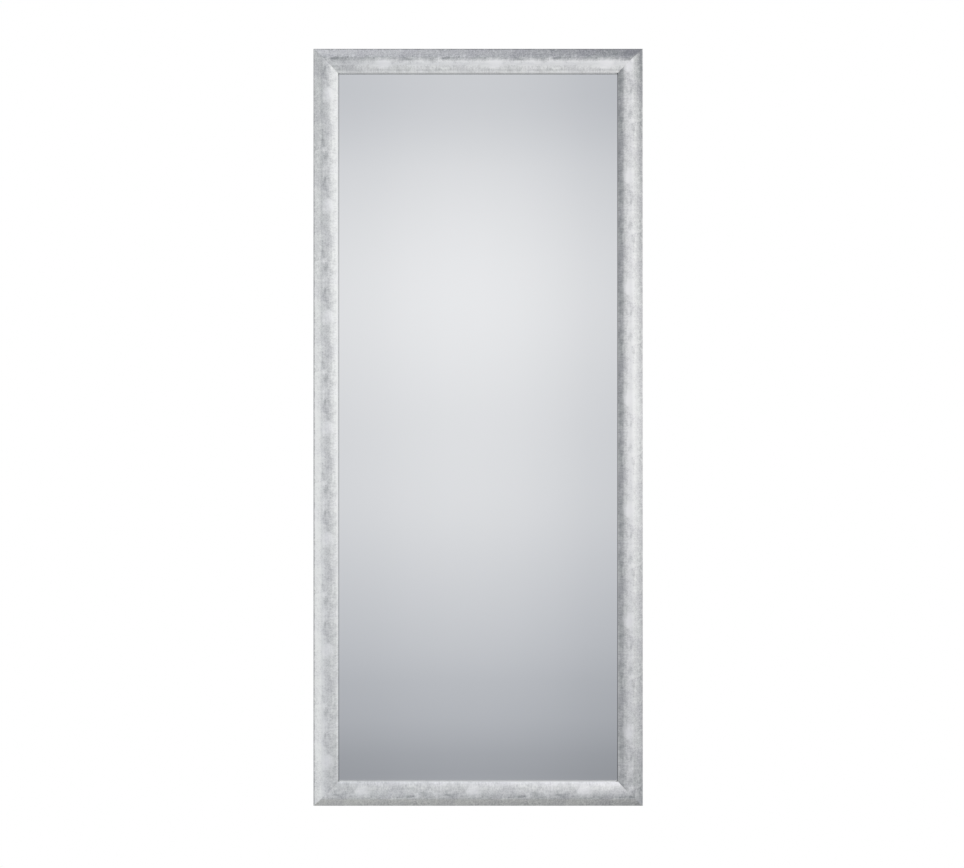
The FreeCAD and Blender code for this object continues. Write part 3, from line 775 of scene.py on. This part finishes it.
def screw_profile(length):
    """Half outline of a screw from the top of its head to its tip, with ridges for its thread."""
    shares = [i / SCREW_CROWN_STEPS for i in range(SCREW_CROWN_STEPS + 1)]
    profile = [(SCREW_CROWN_RADIUS * share, -SCREW_CROWN_DROP * share) for share in shares]
    shoulder_width, shoulder_height = SCREW_SHOULDER
    for i in range(1, SCREW_SHOULDER_STEPS + 1):
        angle = math.pi / 2 * i / SCREW_SHOULDER_STEPS
        radius = SCREW_HEAD_RADIUS - shoulder_width * (1 - math.sin(angle))
        profile.append((radius, -SCREW_CROWN_DROP - shoulder_height * (1 - math.cos(angle))))
    y = -SCREW_HEAD_HEIGHT - SCREW_PLAIN_SHANK
    profile += [
        (SCREW_HEAD_RADIUS, -SCREW_HEAD_HEIGHT),
        (SCREW_SHANK_RADIUS, -SCREW_HEAD_HEIGHT),
        (SCREW_SHANK_RADIUS, y),
    ]
    while y > -length + SCREW_THREAD_STOP:
        radius = SCREW_SHANK_RADIUS * min(1.0, (y + length) / SCREW_POINT)
        profile.append((radius * SCREW_THREAD_ROOT, y - 0.3 * SCREW_THREAD_PITCH))
        profile.append((radius, y - 0.5 * SCREW_THREAD_PITCH))
        y -= SCREW_THREAD_PITCH
    profile.append((0.0, -length))
    return profile


def cross_recess(x, y, z):
    """How far a point of the screw's head is pressed in, along the cross's two arms."""
    if y < -SCREW_HEAD_HEIGHT / 2:
        return 0.0
    narrow, wide = sorted((abs(x), abs(z)))
    arm = 1 - smooth_step(narrow, *RECESS_HALF_WIDTH)
    return -RECESS_DEPTH * arm * (1 - smooth_step(wide, *RECESS_REACH))


def make_screws(side, material):
    """The two screws of one strap, one above the other."""
    low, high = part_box(f"hanger_screws_{side}")
    top = Vector(((low.x + high.x) / 2, high.y, high.z - SCREW_HEAD_RADIUS))
    profile = screw_profile(high.y - low.y)
    bm = bmesh.new()
    for drop in (0.0, STRAP_HOLE_PITCH):
        turned(bm, top - Z * drop, profile, SCREW_SIDES, cross_recess)
    name, node = f"pan_screws_{side}", f"hanger_screws_{side}"
    new_piece(name, bm, [material], "mirror", node, sharp=40)


def make_bumper(corner, material):
    """Rubber pad with a foot ring on the frame, a tapered wall and a dimple in its face."""
    low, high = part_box(f"wall_bumper_{corner}")
    radius = (high.x - low.x) / 2
    height = high.y - low.y
    centre = Vector(((low.x + high.x) / 2, low.y, (low.z + high.z) / 2))
    foot = [
        (0.0, 0.0),
        (radius - 0.5 * MM, 0.0),
        (radius, 0.35 * MM),
        (radius, 1.1 * MM),
        (radius - 0.4 * MM, 1.6 * MM),
    ]
    edge = radius - BUMPER_TAPER - BUMPER_SHOULDER
    fall = height - BUMPER_SHOULDER
    angles = [math.pi / 2 * i / BUMPER_SHOULDER_STEPS for i in range(BUMPER_SHOULDER_STEPS + 1)]
    shoulder = [
        (edge + BUMPER_SHOULDER * math.cos(t), fall + BUMPER_SHOULDER * math.sin(t)) for t in angles
    ]
    dimple = [
        (2.0 * MM, height),
        (1.7 * MM, height - 0.12 * MM),
        (1.2 * MM, height - 0.5 * MM),
        (0.0, height - 0.6 * MM),
    ]
    bm = bmesh.new()
    turned(bm, centre, foot + shoulder + dimple, BUMPER_SIDES)
    name, node = f"bumper_pad_{corner}", f"wall_bumper_{corner}"
    new_piece(name, bm, [material], "mirror", node, sharp=50)


# Stage

# The camera stands this far before the frame's outer arris, where the view is this wide
CAMERA_DISTANCE = 3.0
CAMERA_X, CAMERA_Z = 0.0082, -0.0141
ARRIS_Y = -0.019
VIEW_WIDTH = 2.029
SENSOR = 36.0

FLOOR_Z = -1.3
FLOOR_HALF = 30.0
WHITE = (1, 1, 1)
ROOM_LIGHT = 0.75

# Tones that reflections meet: by height in degrees above the horizon, and by bearing in degrees
# to the right of straight in front of the mirror
HEIGHT_TONES = [
    (-90, 0.43), (-72, 0.47), (-60, 0.62), (-50, 0.76), (-40, 0.85), (-30, 0.88), (-22, 0.68),
    (-14, 0.395), (-11.5, 0.48), (-9, 0.575), (-4, 0.74), (1, 0.80), (6, 0.862), (10.5, 0.765),
    (14, 0.65), (26, 0.83), (42, 0.88), (62, 0.88), (78, 0.6), (90, 0.42),
]
BEARING_TONES = [
    (-180, 0.8), (-130, 1.0), (-78, 1.0), (-68, 0.9), (-36, 0.85), (-19, 1.13), (-10, 1.03),
    (-8, 0.965), (-6.5, 0.918), (-5, 0.924), (-3.5, 0.96), (-2, 0.987), (-0.5, 0.996), (1, 0.983),
    (2.5, 0.948), (4, 0.89), (5.5, 0.845), (7, 0.88), (9, 0.965), (13, 1.08), (22, 1.12),
    (46, 1.14), (64, 1.22), (76, 1.0), (90, 1.0), (180, 0.8),
]


def make_camera():
    """Camera straight in front, at the height and side that the photograph has."""
    data = bpy.data.cameras.new("camera")
    data.sensor_width = SENSOR
    data.lens = SENSOR * CAMERA_DISTANCE / VIEW_WIDTH
    data.clip_start, data.clip_end = 0.05, 100
    camera = add_object("camera", data, (CAMERA_X, ARRIS_Y - CAMERA_DISTANCE, CAMERA_Z))
    camera.rotation_euler = (math.pi / 2, 0, 0)
    bpy.context.scene.camera = camera


def make_floor():
    """Pale floor below the mirror, which keeps its shadow and fades to the white backdrop."""
    material, g = new_material("studio_floor")
    place = g.place()
    far = g.step(g.length(place), 0.5, 1.2)
    speck = g.mix(g.noise(place, 4 * MM, detail=3), (0.86, 0.86, 0.86), (0.90, 0.90, 0.90))
    plain = g.add("ShaderNodeBsdfPrincipled", {"Base Color": speck, "Roughness": 0.8})
    white = g.add("ShaderNodeEmission", {"Color": WHITE, "Strength": 1.0})
    seen = g.add("ShaderNodeLightPath", output="Is Camera Ray")
    surface = g.add("ShaderNodeMixShader", (g.times(far, seen), plain, white))
    g.end("ShaderNodeOutputMaterial", surface)
    mesh = bpy.data.meshes.new("floor")
    corners = [(x * FLOOR_HALF, y * FLOOR_HALF, 0) for x, y in ((-1, -1), (1, -1), (1, 1), (-1, 1))]
    mesh.from_pydata(corners, [], [(0, 1, 2, 3)])
    mesh.materials.append(material)
    floor = add_object("floor", mesh, (0, 0, FLOOR_Z))
    floor.visible_glossy = False


def make_world():
    """White for the camera, an even light for the room, and for metal and glass a soft studio
    that is lighter in front and to the right, and greyer low down, overhead and to the left."""
    world = bpy.data.worlds.new("studio")
    bpy.context.scene.world = world
    world.use_nodes = True
    g = Graph(world.node_tree)
    split = g.tree.nodes.new("ShaderNodeSeparateXYZ")
    g.feed(split.inputs[0], g.add("ShaderNodeTexCoord", output="Generated"))
    x, y, z = split.outputs

    # Height and bearing as shares of a half turn and of a whole turn, straight ahead being 0.5
    degrees = math.degrees(1)
    height = g.math("MULTIPLY_ADD", g.math("ARCSINE", z), degrees / 180, 0.5)
    bearing = g.math("ARCTAN2", x, g.times(y, -1.0))
    bearing = g.math("MULTIPLY_ADD", bearing, degrees / 360, 0.5)

    def turn(angle):
        return angle / 360 + 0.5

    tone_up = g.level(height, [(a / 180 + 0.5, t) for a, t in HEIGHT_TONES], 0, 2, "CARDINAL")
    tone_round = g.level(bearing, [(turn(a), t) for a, t in BEARING_TONES], 0, 2, "CARDINAL")
    overhead = g.step(g.math("ABSOLUTE", z), 0.75, 0.98)
    tone_round = g.blend(overhead, tone_round, 0.9)

    # To the sides the tone depends less on height
    on_left = g.step(bearing, turn(-20), turn(-60), 0, 0.9)
    on_right = g.step(bearing, turn(20), turn(60), 0, 0.4)
    beside = g.times(g.math("ADD", on_left, on_right), g.math("SUBTRACT", 1.0, overhead))
    tone = g.times(g.blend(beside, tone_up, 0.8), tone_round)

    tint = g.mix(g.step(tone, 0.3, 0.9), (0.965, 1.0, 1.075), (0.997, 1.0, 1.012))
    tint = g.mix(g.step(z, -0.9, -0.99), tint, (1.005, 1.0, 0.97))
    tint = g.mix(g.step(z, 0.5, 0.95), tint, (0.995, 1.0, 1.075))
    reflected = g.add("ShaderNodeBackground", {"Color": tint, "Strength": tone})
    room = g.add("ShaderNodeBackground", {"Color": WHITE, "Strength": ROOM_LIGHT})
    white = g.add("ShaderNodeBackground", {"Color": WHITE, "Strength": 1.0})
    path = g.tree.nodes.new("ShaderNodeLightPath")
    surface = g.add("ShaderNodeMixShader", (path.outputs["Is Glossy Ray"], room, reflected))
    straight = g.math("MAXIMUM", path.outputs["Is Camera Ray"], path.outputs["Is Transmission Ray"])
    surface = g.add("ShaderNodeMixShader", (straight, surface, white))
    g.end("ShaderNodeOutputWorld", surface)
    world.cycles.sampling_method = "NONE"


def make_lamp(name, place, size, power):
    """Soft lamp aimed at the middle of the mirror."""
    data = bpy.data.lights.new(name, "AREA")
    data.shape = "DISK"
    data.size = size
    data.energy = power
    lamp = add_object(name, data, place)
    lamp.rotation_euler = (-Vector(place)).to_track_quat("-Z", "Y").to_euler()
    lamp.visible_glossy = False
    lamp.visible_camera = False


# The scene

bpy.context.scene.view_settings.view_transform = "Standard"

# Each side's foil: the painted shade and highlight across it at its start, middle and end, clockwise,
# the painted shade added at its two corners, the line along its crest, and how dark the painted
# shade on its arris and inner wall is
FOILS = {
    "top": (
        [(0, 0.6, 0.85, 1.1), (2.1, 0.6, 0.85, 1.1), (3.3, 0.07, 0.36, 0.86),
         (14, 0.15, 0.4, 0.86), (17, 0.34, 0.52, 0.86), (20, 0.65, 0.72, 0.88),
         (22.5, 0.66, 0.7, 0.8), (26, 0.51, 0.42, 0.47), (31, 0.34, 0.0, -0.03),
         (36, 0.09, -0.13, -0.15), (41, 0.33, 0.23, 0.2), (47, 0.46, 0.41, 0.43),
         (50, 0.2, 0.15, 0.1), (52.4, 0.0, 0.0, 0.0)],
        ((-0.03, -0.03, 0.07, 0.2, 0.2, 0.14), (0.08, 0.1, 0.0, 0.0, -0.12, 0.0)),
        0.05, 0.8, 0.0,
    ),
    "right": (
        [(0, 0.2, 0.1, 0.7), (3, 0.8, 0.32, 0.66), (12, 0.53, 0.07, 0.58), (15, 0.4, 0.0, 0.54),
         (19, 0.42, 0.0, 0.6), (24, 0.2, -0.13, 0.33), (29, 0.24, -0.06, 0.32),
         (37.5, 0.34, 0.33, 0.53), (45.5, 0.8, 0.77, 0.75), (49, 0.88, 0.84, 0.75),
         (52.4, 0.85, 0.7, 0.55)],
        ((0.2, 0.18, 0.1, 0.0, 0.0, 0.04), (0.1, 0.12, 0.16, 0.05, 0.07, -0.05)),
        0.0, 0.25, 0.75,
    ),
    "bottom": (
        [(0, 0.5, 0.4, 0.4), (3, 0.5, 0.35, 0.25), (16.5, 0.45, 0.31, 0.12),
         (18.5, 0.63, 0.51, 0.37), (21, 0.82, 0.7, 0.6), (23.5, 0.68, 0.57, 0.45),
         (26, 0.5, 0.45, 0.32), (32, 0.4, 0.42, 0.43), (38, 0.25, 0.4, 0.49),
         (47, 0.18, 0.33, 0.52), (51, 0.05, 0.18, 0.37), (52.4, -0.2, -0.1, 0.1)],
        ((0.08, 0.07, 0.05, 0.0, -0.04, -0.1), (0.0, 0.0, 0.03, 0.0, 0.0, 0.0)),
        0.0, 0.75, 0.0,
    ),
    "left": (
        [(0, 0.5, 0.5, 0.5), (2.9, 0.5, 0.5, 0.6), (3.7, 0.15, -0.05, 0.56),
         (14, 0.07, 0.05, 0.54), (20, -0.1, 0.16, 0.58), (28.5, 0.18, 0.35, 0.43),
         (33, 0.34, 0.43, 0.36), (37, 0.43, 0.37, 0.24), (41, 0.44, 0.22, 0.1),
         (47, 0.53, 0.12, 0.1), (52.4, 0.22, -0.2, -0.05)],
        ((0.06, 0.1, 0.1, 0.05, 0.1, 0.08), (0.0, 0.04, 0.0, -0.03, -0.03, 0.02)),
        0.0, 0.75, 0.0,
    ),
}
board = raw_board()
for side, settings in FOILS.items():
    make_rail(side, [foil(side, *settings), board])

steel = mottled(
    "plain_steel", 2 * MM, (0.50, 0.51, 0.53), (0.62, 0.63, 0.65), 0.34, metallic=1.0, height=0.03 * MM
)
zinc = zinc_plate()
finishes = {
    "mirror_pane": silvering(),
    "foam_interlayer": mottled("foam_sheet", 1.5 * MM, (0.80, 0.80, 0.79), (0.88, 0.88, 0.87), 0.7),
    "backing_board": hardboard(),
    "edge_packers": mottled("packer_plastic", 3 * MM, (0.05, 0.05, 0.055), (0.08, 0.08, 0.085), 0.5),
    "glazing_points": steel,
    "corner_nails": steel,
    "hanger_strap": zinc,
    "hanger_ring": zinc,
    "hanger_screws": zinc,
    "wall_bumper": mottled("rubber", 2 * MM, (0.045, 0.045, 0.047), (0.075, 0.075, 0.078), 0.62),
}
for name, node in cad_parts.items():
    for start, material in finishes.items():
        if name.startswith(start):
            node.material_slots[0].material = material

for side in HANGERS:
    make_ring(side, zinc)
    make_screws(side, zinc)
for corner in CORNERS:
    make_bumper(corner, finishes["wall_bumper"])

make_camera()
make_floor()
make_world()
make_lamp("key", (-2.2, -2.6, 2.4), 1.6, 28)
make_lamp("fill", (2.6, -2.4, 0.6), 2.0, 14)
make_lamp("back_key", (1.8, 2.8, 2.2), 1.6, 28)
